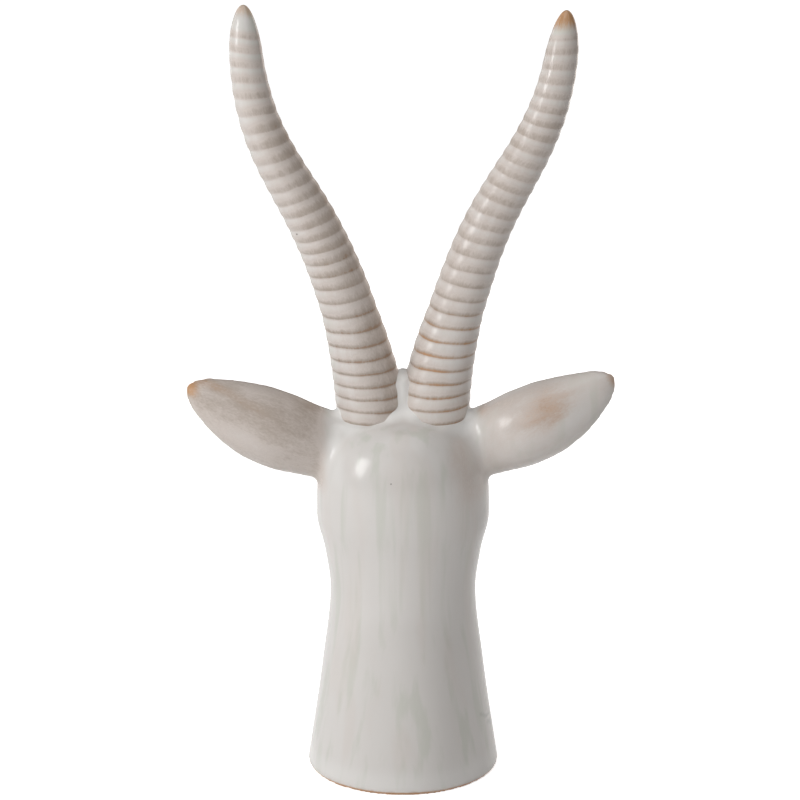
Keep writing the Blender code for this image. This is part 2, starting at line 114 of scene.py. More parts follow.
def clayPath(points, samples=240):
    # an even curve through a few points: its sample points and their lengths along it
    points = np.array(points, float)
    knots = np.concatenate([[0], np.cumsum(np.linalg.norm(np.diff(points, axis=0), axis=1))])
    count, spans = len(knots), np.diff(knots)
    matrix, right = np.eye(count), np.zeros_like(points)
    for i in range(1, count - 1):
        matrix[i, i - 1:i + 2] = spans[i - 1], 2 * (spans[i - 1] + spans[i]), spans[i]
        right[i] = 6 * ((points[i + 1] - points[i]) / spans[i] - (points[i] - points[i - 1]) / spans[i - 1])
    bends = np.linalg.solve(matrix, right)
    places = np.linspace(0, knots[-1], samples)
    i = np.clip(np.searchsorted(knots, places, side="right") - 1, 0, count - 2)
    a = ((knots[i + 1] - places) / spans[i])[:, None]
    b = 1 - a
    line = (a * points[i] + b * points[i + 1]
            + ((a**3 - a) * bends[i] + (b**3 - b) * bends[i + 1]) * spans[i][:, None] ** 2 / 6)
    lengths = np.concatenate([[0], np.cumsum(np.linalg.norm(np.diff(line, axis=0), axis=1))])
    return line, lengths


def sidePath(points, side):
    # the curve of a form on the left of the photo, side 1, or on the right, side -1
    return clayPath([(out * side, back, up) for out, back, up in points])


def pointAt(path, along):
    line, lengths = path
    return Vector([float(np.interp(along, lengths, line[:, k])) for k in range(3)])


def headingAt(path, along):
    length = path[1][-1]
    reach = length * 0.01
    return (pointAt(path, min(along + reach, length)) - pointAt(path, max(along - reach, 0))).normalized()


def roundedEnd(distance, rounding):
    # share of the full size at a distance from a rounded end
    return math.sqrt(max(0.0, 1 - (1 - min(distance / rounding, 1.0)) ** 2))


def oval(centre, sideWay, upWay, halfWidth, halfHeight, sides, squareness=2.0):
    angles = np.arange(sides) * 2 * math.pi / sides
    c, s = np.cos(angles), np.sin(angles)
    x = np.sign(c) * np.abs(c) ** (2 / squareness) * halfWidth
    y = np.sign(s) * np.abs(s) ** (2 / squareness) * halfHeight
    return np.array(centre) + x[:, None] * np.array(sideWay) + y[:, None] * np.array(upWay)


def newObject(name, data):
    form = bpy.data.objects.new(name, data)
    bpy.context.scene.collection.objects.link(form)
    return form


def loftedForm(name, rings, startPoint=None, endPoint=None):
    # a closed mesh object through rings of points with the same number of sides
    sides, shape = len(rings[0]), bmesh.new()
    rows = [[shape.verts.new(p) for p in ring] for ring in rings]
    for low, high in zip(rows, rows[1:]):
        for k in range(sides):
            shape.faces.new((low[k], low[(k + 1) % sides], high[(k + 1) % sides], high[k]))
    for row, point in ((rows[0], startPoint), (rows[-1], endPoint)):
        if point is None:
            shape.faces.new(row)
        else:
            pole = shape.verts.new(point)
            for k in range(sides):
                shape.faces.new((row[k], row[(k + 1) % sides], pole))
    bmesh.ops.recalc_face_normals(shape, faces=shape.faces)
    mesh = bpy.data.meshes.new(name)
    shape.to_mesh(mesh)
    shape.free()
    return newObject(name, mesh)


def bakedMesh(form):
    # the shape as its modifiers leave it, as a plain mesh on the same object
    mesh = bpy.data.meshes.new_from_object(form.evaluated_get(bpy.context.evaluated_depsgraph_get()))
    form.modifiers.clear()
    form.data = mesh
    return mesh


def reworkMesh(mesh, change):
    shape = bmesh.new()
    shape.from_mesh(mesh)
    change(shape)
    shape.to_mesh(mesh)
    shape.free()


def meshArrays(mesh):
    spots = np.empty(len(mesh.vertices) * 3)
    mesh.vertices.foreach_get("co", spots)
    ends = np.empty(len(mesh.edges) * 2, int)
    mesh.edges.foreach_get("vertices", ends)
    return spots.reshape(-1, 3), ends.reshape(-1, 2)


def vertexNormals(mesh):
    normals = np.empty(len(mesh.vertices) * 3)
    mesh.vertex_normals.foreach_get("vector", normals)
    return normals.reshape(-1, 3)


def neighbourMean(values, ends, counts):
    total = np.zeros_like(values)
    for k in range(values.shape[1]):
        total[:, k] = (np.bincount(ends[:, 0], values[ends[:, 1], k], len(values))
                       + np.bincount(ends[:, 1], values[ends[:, 0], k], len(values)))
    return total / counts[:, None]


def softStep(low, high, values):
    t = np.clip((values - low) / (high - low), 0, 1)
    return t * t * (3 - 2 * t)


def storeOnPoints(mesh, **marks):
    for name, values in marks.items():
        values = np.asarray(values, np.float32)
        kind, field = ("FLOAT", "value") if values.ndim == 1 else ("FLOAT_VECTOR", "vector")
        mesh.attributes.new(name, kind, "POINT").data.foreach_set(field, values.ravel())


# Neck and skull

bustSizes = {
    "widths": [(0, .0456), (.050, .0382), (.085, .0345), (.104, .0370), (.121, .0408)],
    "depths": [(0, .0525), (.050, .0430), (.085, .0380), (.104, .0385), (.121, .0400)],
    "cheekHeight": .121,
    "crownHeight": .1685,
    "domeSquareness": 3.2,
    "skullForward": .006,
    "wall": 6 * mm,
    "soleEdge": 2.5 * mm,
    "hollowStart": 8 * mm,  # below the foot, so that it cuts through
    "sides": 120,
    "hollowSides": 96,
    "soleRows": 6,
    "neckRows": 60,
    "domeRows": 34,
    "clayGrid": 1.1 * mm,  # spacing of the points that the outer skin is rebuilt on
}


def bustSection(height, inset=0.0):
    s = bustSizes
    low, top = s["cheekHeight"], s["crownHeight"] - inset
    forward = float(smoothCurve([(0, 0), (low, s["skullForward"]), (top, s["skullForward"])], height))
    crown = [(s["crownHeight"], 0.0)]
    halfWidth = float(smoothCurve(s["widths"] + crown, min(height, low))) - inset
    halfDepth = float(smoothCurve(s["depths"] + crown, min(height, low))) - inset
    rise = max(0.0, (height - low) / (top - low))
    dome = max(0.0, 1 - rise ** s["domeSquareness"]) ** (1 / s["domeSquareness"])
    return halfWidth * dome, halfDepth * dome, forward


def bustRing(height, sides, inset=0.0, edge=0.0):
    halfWidth, halfDepth, forward = bustSection(height, inset)
    return oval((0, -forward, height), across, backward, halfWidth - edge, halfDepth - edge, sides)


def makeBustForm(name, sides, inset=0.0):
    # the outer form, or the hollow in it, which lies a wall's thickness further in
    s = bustSizes
    low, top = s["cheekHeight"], s["crownHeight"] - inset
    if inset:
        rings, start = [bustRing(0, sides, inset) - np.array([0, 0, s["hollowStart"]])], 0.0
    else:
        start = s["soleEdge"]
        rings = [bustRing(start * (1 - math.cos(turn)), sides, 0, start * (1 - math.sin(turn)))
                 for turn in np.linspace(0, quarterTurn, s["soleRows"] + 1)[:-1]]
    rings += [bustRing(height, sides, inset) for height in np.linspace(start, low, s["neckRows"])]
    rings += [bustRing(low + (top - low) * math.sin(turn), sides, inset)
              for turn in np.linspace(0, quarterTurn, s["domeRows"] + 2)[1:-1]]
    return loftedForm(name, rings, endPoint=(0, -s["skullForward"], top))


# Muzzle, eyes, nostrils and lips

muzzleSizes = {
    # each section: forward, height, half width, half height
    "sections": [(.004, .134, .0385, .0290), (.033, .124, .0345, .0290), (.056, .109, .0268, .0245),
                 (.076, .095, .0208, .0192), (.099, .079, .0175, .0155)],
    "noseRounding": .015,
    "squareness": 2.3,
    "sides": 96,
    "rows": 60,
    "hollowSides": 48,
    "hollowRows": 30,
    "eye": {"along": .32, "around": 24, "length": .0190, "height": .0110, "depth": .0100, "proud": .0022,
            "sides": 32, "rows": 16},
    "nostril": {"along": .935, "around": 38, "length": .0085, "height": .0044, "depth": .0044, "proud": .0022,
                "sides": 20, "rows": 10},
    # the groove of the mouth is thinnest at its ends
    "lip": {"start": .60, "end": .95, "around": -34, "radius": .0011, "thinnest": 0.15,
            "sides": 10, "rows": 24},
}


class Muzzle:
    def __init__(self, sizes):
        self.sizes = sizes
        self.path = clayPath([(0, -forward, height) for forward, height, _, _ in sizes["sections"]])
        self.length = self.path[1][-1]
        places = [float(np.interp(s[0], -self.path[0][:, 1], self.path[1])) for s in sizes["sections"]]
        self.widths = [(place, s[2]) for place, s in zip(places, sizes["sections"])]
        self.heights = [(place, s[3]) for place, s in zip(places, sizes["sections"])]

    def halfSizes(self, along, inset=0.0):
        closing = roundedEnd(self.length - inset - along, self.sizes["noseRounding"])
        return ((float(smoothCurve(self.widths, along)) - inset) * closing,
                (float(smoothCurve(self.heights, along)) - inset) * closing)

    def upAt(self, along):
        return headingAt(self.path, along).cross(across)

    def form(self, name, sides, rows, inset=0.0):
        reach = self.length - inset
        rings = []
        for share in np.sin(np.linspace(0, quarterTurn, rows + 1)[:-1]):
            along = reach * share
            halfWidth, halfHeight = self.halfSizes(along, inset)
            rings.append(oval(pointAt(self.path, along), across, self.upAt(along), halfWidth, halfHeight,
                              sides, self.sizes["squareness"]))
        return loftedForm(name, rings, endPoint=pointAt(self.path, reach))

    def skin(self, share, around):
        along = self.length * share
        halfWidth, halfHeight = self.halfSizes(along)
        up, angle, power = self.upAt(along), math.radians(around), 2 / self.sizes["squareness"]
        sideways = math.cos(angle) ** power * halfWidth
        upwards = math.copysign(abs(math.sin(angle)) ** power, angle) * halfHeight
        return (pointAt(self.path, along) + across * sideways + up * upwards,
                across * math.cos(angle) + up * math.sin(angle))

    def lens(self, name, side):
        # an almond on the skin, which stands proud as an eye or is cut out as a nostril
        s = self.sizes[name]
        skin, outward = self.skin(s["along"], s["around"])
        centre = skin + outward * (s["proud"] - 0.5 * s["depth"])
        centre.x, outward.x = centre.x * side, outward.x * side
        outward.normalize()
        along = headingAt(self.path, s["along"] * self.length)
        along = (along - outward * along.dot(outward)).normalized()
        up, half = outward.cross(along), outward * (0.5 * s["depth"])
        rings = []
        for turn in np.linspace(0, math.pi, s["rows"] + 1)[1:-1]:
            middle = centre - outward * (0.5 * s["depth"] * math.cos(turn))
            rings.append(oval(middle, along, up, 0.5 * s["length"] * math.sin(turn),
                              0.5 * s["height"] * math.sin(turn), s["sides"]))
        return loftedForm(name, rings, centre - half, centre + half)

    def lipGroove(self, name, side):
        s = self.sizes["lip"]
        rows, rings = s["rows"], []
        spine = [self.skin(share, s["around"])[0] for share in np.linspace(s["start"], s["end"], rows + 1)]
        spine = [Vector((p.x * side, p.y, p.z)) for p in spine]
        for i, point in enumerate(spine):
            ahead = (spine[min(i + 1, rows)] - spine[max(i - 1, 0)]).normalized()
            sideWay = ahead.cross(upward).normalized()
            fullness = math.sqrt(math.sin(math.pi * (i + 0.5) / (rows + 1)))
            radius = s["radius"] * (s["thinnest"] + (1 - s["thinnest"]) * fullness)
            rings.append(oval(point, sideWay, sideWay.cross(ahead), radius, radius, s["sides"]))
        return loftedForm(name, rings)


# Ears

earSizes = {
    "left": [(.0240, -.0050, .1506), (.0540, .0000, .1601), (.0800, .0040, .1722), (.1003, .0060, .1838)],
    "right": [(.0240, -.0050, .1510), (.0530, .0000, .1616), (.0780, .0040, .1745), (.0980, .0060, .1883)],
    # share of the ear's length and half height there, and how thick the back half is
    "halfHeights": [(0, .0156), (.25, .0168), (.42, .0181), (.55, .0177), (.67, .0158), (.78, .0130),
                    (.89, .0092), (1, .0060)],
    "tipRounding": .010,
    "leftThickness": [(0, .0115), (.15, .0122), (.32, .0132), (.45, .0132), (.62, .0122), (.80, .0110),
                      (1, .0100)],
    "rightThickness": [(0, .0045), (.10, .0062), (.20, .0100), (.34, .0142), (.47, .0150), (.64, .0134),
                       (.80, .0114), (1, .0100)],
    "frontThickness": .0060,
    "scoop": .0100,
    "scoopLength": 0.7,
    "roll": math.radians(12),  # turns the back of the ear a little upwards
    "sides": 72,
    "rows": 64,
}


def makeEar(name, side):
    s = earSizes
    path = sidePath(s[name.replace("Ear", "")], side)
    length, rings = path[1][-1], []
    angles = np.arange(s["sides"]) * 2 * math.pi / s["sides"]
    wave = np.sin(angles)
    for share in np.sin(np.linspace(0, quarterTurn, s["rows"] + 1)[:-1]):
        ahead = headingAt(path, length * share)
        plainUp = (upward - ahead * ahead.z).normalized()
        plainBack = backward - ahead * ahead.y
        plainBack = (plainBack - plainUp * plainBack.dot(plainUp)).normalized()
        up = plainUp * math.cos(s["roll"]) - plainBack * math.sin(s["roll"])
        behind = plainBack * math.cos(s["roll"]) + plainUp * math.sin(s["roll"])
        halfHeight = float(smoothCurve(s["halfHeights"], share))
        halfHeight *= roundedEnd(length * (1 - share), s["tipRounding"])
        thickness = float(smoothCurve(s[name.replace("Ear", "Thickness")], share))
        scoop = s["scoop"] * math.sin(math.pi * share) ** s["scoopLength"]
        fullness = halfHeight / s["halfHeights"][0][1]
        depth = np.where(wave >= 0, thickness * wave, s["frontThickness"] * wave + scoop * wave * wave)
        rings.append(np.array(pointAt(path, length * share)) + np.outer(np.cos(angles) * halfHeight, up)
                     + np.outer(depth * fullness, behind))
    return loftedForm(name, rings, endPoint=pointAt(path, length))


# Horns: a Geometry Nodes tree sweeps the ringed skin along each horn's middle line

hornSides = {"leftHorn": 1, "rightHorn": -1}
hornMarks = {"ringRise": "rise", "ringNumber": "ring number", "tipDistance": "drop", "hornTurn": "turn"}
hornSizes = {
    "leftHorn": {
        "path": [(.0122, -.0100, .142), (.0140, -.0083, .165), (.0180, -.0058, .190), (.0288, .0002, .230),
                 (.0438, .0060, .265), (.0613, .0108, .298), (.0693, .0136, .326), (.0714, .0150, .3599)],
        # where the lower edge of some rings lies: ring number from the tip, distance from the tip in mm
        "ringPlaces": [(0, 1.6), (1, 8.2), (5, 34.5), (10, 72.0), (15, 105.8), (20, 137.6), (25, 174.1),
                       (30, 205.6), (33, 224.0)],
    },
    "rightHorn": {
        "path": [(.0122, -.0100, .142), (.0140, -.0083, .165), (.0175, -.0058, .190), (.0281, .0002, .230),
                 (.0416, .0060, .265), (.0595, .0108, .298), (.0691, .0136, .325), (.0733, .0150, .3575)],
        "ringPlaces": [(0, .9), (1, 7.0), (6, 39.5), (11, 72.5), (16, 106.0), (21, 141.6), (26, 176.8),
                       (30, 203.2), (33, 223.0)],
    },
    # share of one ring from its lower edge up, and how far it stands proud as a share of the relief
    "ringProfile": [(0, -.5), (.10, -.24), (.24, .32), (.37, .5), (.54, .38), (.73, .02), (.88, -.30),
                    (1, -.5)],
    "mergeReach": 0.002 * mm,  # closes the seam, the tip and the root
    "ringNudge": 0.00001,  # so that a row or column at the end of a ring or turn counts as the next one's start
    "seedGap": 7.0,
    # unevenness of the hand: seed, size, detail
    "noises": {"lumps": ("Seed", 14 * mm, 1.0), "wander": ("wander seed", 11 * mm, 1.5)},
}
hornInputs = {  # named inputs of the tree
    "Root Radius": 14.0 * mm,
    "End Radius": 6.6 * mm,
    "Taper": 1.5,
    "Flare": 3.4 * mm,
    "Flare Length": 58 * mm,
    "Tip Rounding": 22 * mm,
    "Plain Root": 20 * mm,
    "Ring Relief": 0.32 * mm,
    "Smooth Tip": 9 * mm,  # no rings so close to the tip
    "Relief Growth": 40 * mm,  # and full relief this much further down
    "Relief Ease": 0.3,
    "Ring Tilt": math.radians(9),
    "Hand Wander": 0.30 * mm,  # how far a carved line strays up and down round the horn
    "Hand Lumps": 0.14 * mm,
    "Seed": 3.0,
    "Rings": 33,
    "Rows In Ring": 16,
    "Rows In Tip": 14,
    "Sides": 72,
}


def hornTree(name):
    s = hornSizes
    ringPlaces, nudge = s[name]["ringPlaces"], s["ringNudge"]
    tree = bpy.data.node_groups.new(name + "Rings", "GeometryNodeTree")
    sockets = [("Middle Line", "NodeSocketGeometry"), ("Side", "NodeSocketFloat")]
    sockets += [(inputName, "NodeSocketInt" if isinstance(value, int) else "NodeSocketFloat")
                for inputName, value in hornInputs.items()]
    for socketName, kind in sockets + [("Glaze", "NodeSocketMaterial")]:
        tree.interface.new_socket(socketName, in_out="INPUT", socket_type=kind)
    tree.interface.new_socket("Horn", in_out="OUTPUT", socket_type="NodeSocketGeometry")
    known = {socket.name: socket for socket in addNode(tree, "NodeGroupInput").outputs if socket.name}

    # a flat grid of points: one row for each step along the horn, one column for each step round it
    addSums(tree, known, numberSum, [
        ("ring rows", "MULTIPLY", "Rings", "Rows In Ring"),
        ("row count", "ADD", "ring rows", "Rows In Tip"),
        ("points along", "ADD", "row count", 1.0),
        ("points round", "ADD", "Sides", 1.0)])
    grid = addNode(tree, "GeometryNodeMeshGrid", None, {"Size X": 1.0, "Size Y": 1.0})
    tree.links.new(known["points along"], grid.inputs["Vertices X"])
    tree.links.new(known["points round"], grid.inputs["Vertices Y"])
    gridSpot = addNode(tree, "GeometryNodeInputPosition").outputs[0]
    spot = addNode(tree, "ShaderNodeSeparateXYZ", None, {0: gridSpot})
    known["length"] = addNode(tree, "GeometryNodeCurveLength", None, {0: known["Middle Line"]}).outputs[0]
    known.update({"grid x": spot.outputs[0], "grid y": spot.outputs[1]})

    # ring number and place within the ring
    addSums(tree, known, numberSum, [
        ("x share", "ADD", "grid x", 0.5),
        ("row", "MULTIPLY", "x share", "row count"),
        ("y share", "ADD", "grid y", 0.5),
        ("y nudged", "ADD", "y share", nudge),
        ("closed share", "FRACT", "y nudged"),
        ("turn", "MULTIPLY", "closed share", 2 * math.pi),
        ("row over tip", "DIVIDE", "row", "Rows In Tip"),
        ("tip share", "MINIMUM", "row over tip", 1.0),
        ("row past tip", "SUBTRACT", "row", "Rows In Tip"),
        ("signed number", "DIVIDE", "row past tip", "Rows In Ring"),
        ("ring number", "MAXIMUM", "signed number", 0.0),
        ("number share", "DIVIDE", "ring number", "Rings"),
        ("nudged", "ADD", "ring number", nudge),
        ("fallen", "FRACT", "nudged"),
        ("rise", "SUBTRACT", 1.0, "fallen")])
    lastNumber, lastPlace = ringPlaces[-1]
    places = [(number / lastNumber, place / lastPlace) for number, place in ringPlaces]
    for curveName, source, points in (("place share", "number share", places),
                                      ("bulge", "rise", s["ringProfile"])):
        curve = addNode(tree, "ShaderNodeFloatCurve", {"label": curveName}, {"Value": known[source]})
        curve.mapping.clip_min_y = -1.0
        line = curve.mapping.curves[0]
        line.points[0].location, line.points[1].location = points[0], points[-1]
        for place in points[1:-1]:
            line.points.new(*place)
        for point in line.points:
            point.handle_type = "AUTO_CLAMPED"
        curve.mapping.update()
        known[curveName] = curve.outputs[0]

    addSums(tree, known, numberSum, [
        # how far each row lies below the tip, with rows that crowd at the tip
        ("even drop", "MULTIPLY", "place share", lastPlace * mm),
        ("tip square", "MULTIPLY", "tip share", "tip share"),
        ("tip drop", "MULTIPLY", "even drop", "tip square"),
        ("drop", "MINIMUM", "tip drop", "length"),
        ("along", "SUBTRACT", "length", "drop"),
        # plain taper, flare at the root and rounded tip
        ("past root", "SUBTRACT", "along", "Plain Root"),
        ("clear", "MAXIMUM", "past root", 0.0),
        ("tapered length", "SUBTRACT", "length", "Plain Root"),
        ("taper share", "DIVIDE", "clear", "tapered length"),
        ("taper curve", "POWER", "taper share", "Taper"),
        ("radius change", "SUBTRACT", "End Radius", "Root Radius"),
        ("tapered", "MULTIPLY_ADD", "radius change", "taper curve", "Root Radius"),
        ("clear share", "DIVIDE", "clear", "Flare Length"),
        ("flare left", "SUBTRACT", 1.0, "clear share"),
        ("flare share", "MAXIMUM", "flare left", 0.0),
        ("plain", "MULTIPLY_ADD", "Flare", "flare share", "tapered"),
        ("drop share", "DIVIDE", "drop", "Tip Rounding"),
        ("rounding share", "MINIMUM", "drop share", 1.0),
        ("rounding left", "SUBTRACT", 1.0, "rounding share"),
        ("rounding square", "MULTIPLY", "rounding left", "rounding left"),
        ("closing square", "SUBTRACT", 1.0, "rounding square"),
        ("closing", "SQRT", "closing square"),
        # the ring profile, flat at the tip and growing down the horn
        ("below tip", "SUBTRACT", "drop", "Smooth Tip"),
        ("growth", "DIVIDE", "below tip", "Relief Growth"),
        ("growth share", "SMOOTH_MIN", "growth", 1.0, "Relief Ease"),
        ("relief share", "MAXIMUM", "growth share", 0.0),
        ("relief", "MULTIPLY", "Ring Relief", "relief share"),
        ("proud", "MULTIPLY", "bulge", "relief")])

    # where the row's middle is, and the two directions that each ring lies in
    sample = addNode(tree, "GeometryNodeSampleCurve", {"mode": "LENGTH", "data_type": "FLOAT"},
                     {"Curves": known["Middle Line"], "Length": known["along"]})
    known.update({"middle": sample.outputs["Position"], "ahead": sample.outputs["Tangent"]})
    aheadParts = addNode(tree, "ShaderNodeSeparateXYZ", None, {0: known["ahead"]}).outputs
    known.update({"ahead x": aheadParts[0], "ahead z": aheadParts[2]})
    addSums(tree, known, numberSum, [
        ("ahead out", "MULTIPLY", "ahead x", "Side"),
        ("lean", "ARCTAN2", "ahead out", "ahead z"),
        ("level", "SUBTRACT", "lean", "Ring Tilt"),
        ("level cosine", "COSINE", "level"),
        ("level sine", "SINE", "level"),
        ("side x", "MULTIPLY", "level cosine", "Side"),
        ("side z", "MULTIPLY", "level sine", -1.0),
        ("turn cosine", "COSINE", "turn"),
        ("turn sine", "SINE", "turn"),
        ("plain radius", "MULTIPLY", "plain", "closing"),
        ("wander seed", "ADD", "Seed", s["seedGap"])])
    known["side way"] = addNode(tree, "ShaderNodeCombineXYZ", None,
                                {0: known["side x"], 1: 0.0, 2: known["side z"]}).outputs[0]
    addSums(tree, known, arrowSum, [
        ("raw deep way", "CROSS_PRODUCT", "ahead", "side way"),
        ("deep way", "NORMALIZE", "raw deep way"),
        ("side part", "SCALE", "side way", None, None, "turn cosine"),
        ("deep part", "SCALE", "deep way", None, None, "turn sine"),
        ("out way", "ADD", "side part", "deep part"),
        ("plain step", "SCALE", "out way", None, None, "plain radius"),
        ("plain spot", "ADD", "middle", "plain step")])

    # unevenness of the hand: lumps in the skin and lines that wander
    for noiseName, (seed, size, detail) in s["noises"].items():
        known[noiseName] = addNode(tree, "ShaderNodeTexNoise", {"noise_dimensions": "4D", "label": noiseName},
                                   {"Vector": known["plain spot"], "W": known[seed], "Scale": 1 / size,
                                    "Detail": detail}).outputs[0]
    addSums(tree, known, numberSum, [
        ("lump share", "MULTIPLY_ADD", "lumps", 2.0, -1.0),
        ("lumpy", "MULTIPLY_ADD", "lump share", "Hand Lumps", "plain"),
        ("full radius", "ADD", "lumpy", "proud"),
        ("last row", "SUBTRACT", "row count", 0.5),
        ("on the skin", "LESS_THAN", "row", "last row"),  # the last row shuts the root
        ("open", "MULTIPLY", "closing", "on the skin"),
        ("radius", "MULTIPLY", "full radius", "open"),
        ("wander share", "MULTIPLY_ADD", "wander", 4.0, -2.0),
        ("stray", "MULTIPLY", "wander share", "Hand Wander"),
        ("open stray", "MULTIPLY", "stray", "open")])
    addSums(tree, known, arrowSum, [
        ("skin step", "SCALE", "out way", None, None, "radius"),
        ("round spot", "ADD", "middle", "skin step"),
        ("stray step", "SCALE", "ahead", None, None, "open stray"),
        ("skin spot", "ADD", "round spot", "stray step")])

    horn = grid.outputs[0]
    for markName, source in hornMarks.items():
        horn = addNode(tree, "GeometryNodeStoreNamedAttribute", {"data_type": "FLOAT", "domain": "POINT"},
                       {"Geometry": horn, "Name": markName, "Value": known[source]}).outputs[0]
    for kind, inputs in (("GeometryNodeSetPosition", {"Position": known["skin spot"]}),
                         ("GeometryNodeMergeByDistance", {"Distance": s["mergeReach"]}),
                         ("GeometryNodeRealizeInstances", {}),
                         ("GeometryNodeSetMaterial", {"Material": known["Glaze"]})):
        horn = addNode(tree, kind, None, {"Geometry": horn, **inputs}).outputs[0]
    addNode(tree, "NodeGroupOutput", None, {0: horn})
    return tree


def makeHorn(name, side, glaze):
    line, _ = sidePath(hornSizes[name]["path"], side)
    curve = bpy.data.curves.new(name + "Line", "CURVE")
    curve.dimensions = "3D"
    spline = curve.splines.new("POLY")
    spline.points.add(len(line) - 1)
    places = np.column_stack([line + np.array(footPlace), np.ones(len(line))])
    spline.points.foreach_set("co", places.ravel())
    form = newObject(name + "Line", curve)
    tree = hornTree(name)
    step = form.modifiers.new("rings", "NODES")
    step.node_group = tree
    wanted = dict(hornInputs, Side=float(side), Glaze=glaze)
    for socket in tree.interface.items_tree:
        if socket.in_out == "INPUT" and socket.name in wanted:
            step[socket.identifier] = wanted[socket.name]
    mesh = bpy.data.meshes.new_from_object(form.evaluated_get(bpy.context.evaluated_depsgraph_get()))
    bpy.data.objects.remove(form, do_unlink=True)
    reworkMesh(mesh, lambda shape: bmesh.ops.recalc_face_normals(shape, faces=shape.faces))
    mesh.name = name
    mesh.shade_smooth()
    return newObject(name, mesh)


def plainRadius(along):
    # radius of a horn near its root, as in the tree
    h = hornInputs
    return h["Root Radius"] + h["Flare"] * max(0.0, 1 - max(0.0, along - h["Plain Root"]) / h["Flare Length"])


def ringFrame(path, side, along):
    # the way that a horn runs, and the way across it that its rings lie in
    ahead = headingAt(path, along)
    level = math.atan2(ahead.x * side, ahead.z) - hornInputs["Ring Tilt"]
    return ahead, Vector((math.cos(level) * side, 0, -math.sin(level)))


stubSizes = {"reach": 46 * mm, "thinner": 1.3 * mm, "blunt": 2 * mm, "rounding": 6 * mm, "sides": 48,
             "rows": 40}
webSizes = {"top": .1895, "halfWidth": 6.0 * mm, "halfDepth": 10.3 * mm, "forward": 7.5 * mm, "sides": 32,
            "rows": 24}


def makeHornStub(name, side):
    # plain root of a horn, a little thinner than the ringed skin that covers it
    s, rings = stubSizes, []
    path = sidePath(hornSizes[name.replace("Stub", "Horn")]["path"], side)
    for along in np.linspace(0, s["reach"], s["rows"]):
        ahead, sideWay = ringFrame(path, side, along)
        closing = roundedEnd(s["reach"] + s["blunt"] - along, s["rounding"])
        radius = (plainRadius(along) - s["thinner"]) * closing
        rings.append(oval(pointAt(path, along), sideWay, ahead.cross(sideWay).normalized(), radius, radius,
                          s["sides"]))
    return loftedForm(name, rings)


def makeWeb():
    s, rings = webSizes, []
    foot = bustSizes["cheekHeight"]
    for height in foot + (s["top"] - foot) * np.sin(np.linspace(0, quarterTurn, s["rows"] + 1)[:-1]):
        closing = roundedEnd(s["top"] - height, s["halfWidth"])
        rings.append(oval((0, -s["forward"], height), across, backward, s["halfWidth"] * closing,
                          s["halfDepth"] * closing, s["sides"]))
    return loftedForm("web", rings, endPoint=(0, -s["forward"], s["top"]))


# The casting: all plain forms joined, rebuilt as one skin, softened like clay under glaze, then hollowed

claySizes = {
    "settlePasses": 14,
    "fillPasses": 240,  # more passes leave fuller corners at ears and horns
    "polishPasses": 14,
    "evenSteps": (0.5, -0.53),  # towards the neighbours and back a little further, so that nothing shrinks
    "fillStep": 0.6,
    "hollowDepth": 0.02 * mm,  # a point that lies this deep in a hollow moves its full step
    "normalPasses": 12,  # passes before the skin's directions are worked out again
    # corners that clay and glaze fill: out, back, up, full within, nothing beyond, share of the passes
    "corners": [
        (.033, -.004, .171, .007, .020, 1.0),  # ear and horn, on top
        (.032, .010, .150, .008, .020, 0.35),  # ear and skull, behind
        (.000, .003, .164, .005, .013, 0.55),  # between the horns
        (.037, -.004, .134, .007, .022, 0.45),  # ear and cheek, below
        (.014, .006, .164, .006, .018, 0.25),  # horn and skull, behind
        (.030, -.020, .155, .010, .026, 0.5),  # ear and brow
    ],
    # behind each horn the clay stops at the lower edge of the lowest ring, so many mm from the tip
    "lowestRing": {"leftHorn": 205.6 * mm, "rightHorn": 203.2 * mm},
    "hiddenDepth": 1.2 * mm,
    # where it is pulled in, from nothing to fully: height over the edge, share of the way to the horn's back,
    # distance from the middle plane, and the thickness of clay that is too much to pull in
    "pullHeight": (-0.6 * mm, 0.9 * mm),
    "pullBack": (0.35, 0.70),
    "pullOut": (4 * mm, 9 * mm),
    "tooThick": (5 * mm, 8 * mm),
    "pullTop": 14 * mm,
    "flatFoot": 0.35 * mm,  # all that is lower lies flat
    "boxMargin": 0.02 * mm,
    "needleLength": 0.004 * mm,  # shorter edges along the cuts are closed up
}


def joinedForms(name, forms):
    shape = bmesh.new()
    for form in forms:
        shape.from_mesh(form.data)
        bpy.data.objects.remove(form, do_unlink=True)
    mesh = bpy.data.meshes.new(name)
    shape.to_mesh(mesh)
    shape.free()
    return newObject(name, mesh)


def rebuiltSkin(form):
    step = form.modifiers.new("clay", "REMESH")
    step.mode = "VOXEL"
    step.voxel_size = bustSizes["clayGrid"]
    step.adaptivity = 0.0
    return bakedMesh(form)


def evenOut(spots, ends, counts, passes):
    for step in claySizes["evenSteps"] * passes:
        spots += step * (neighbourMean(spots, ends, counts) - spots)


def pullInAboveRings(spots):
    s = claySizes
    for name, side in hornSides.items():
        path = sidePath(hornSizes[name]["path"], side)
        along = path[1][-1] - s["lowestRing"][name]
        ahead, sideWay = ringFrame(path, side, along)
        above = sideWay.cross(ahead).cross(sideWay).normalized()
        offset = spots - np.array(pointAt(path, along))
        height = offset @ np.array(above)
        spoke = offset - np.outer(height / ahead.dot(above), ahead)
        radius = np.maximum(np.linalg.norm(spoke, axis=1), tinyLength)
        skin = plainRadius(along) - s["hiddenDepth"]
        share = (softStep(*s["pullHeight"], height) * softStep(*s["pullBack"], spoke[:, 1] / radius)
                 * softStep(*s["pullOut"], side * spots[:, 0]) * (radius > skin)
                 * (1 - softStep(*s["tooThick"], radius - skin)) * (height < s["pullTop"]))
        spots -= spoke * (share * (1 - skin / radius))[:, None]


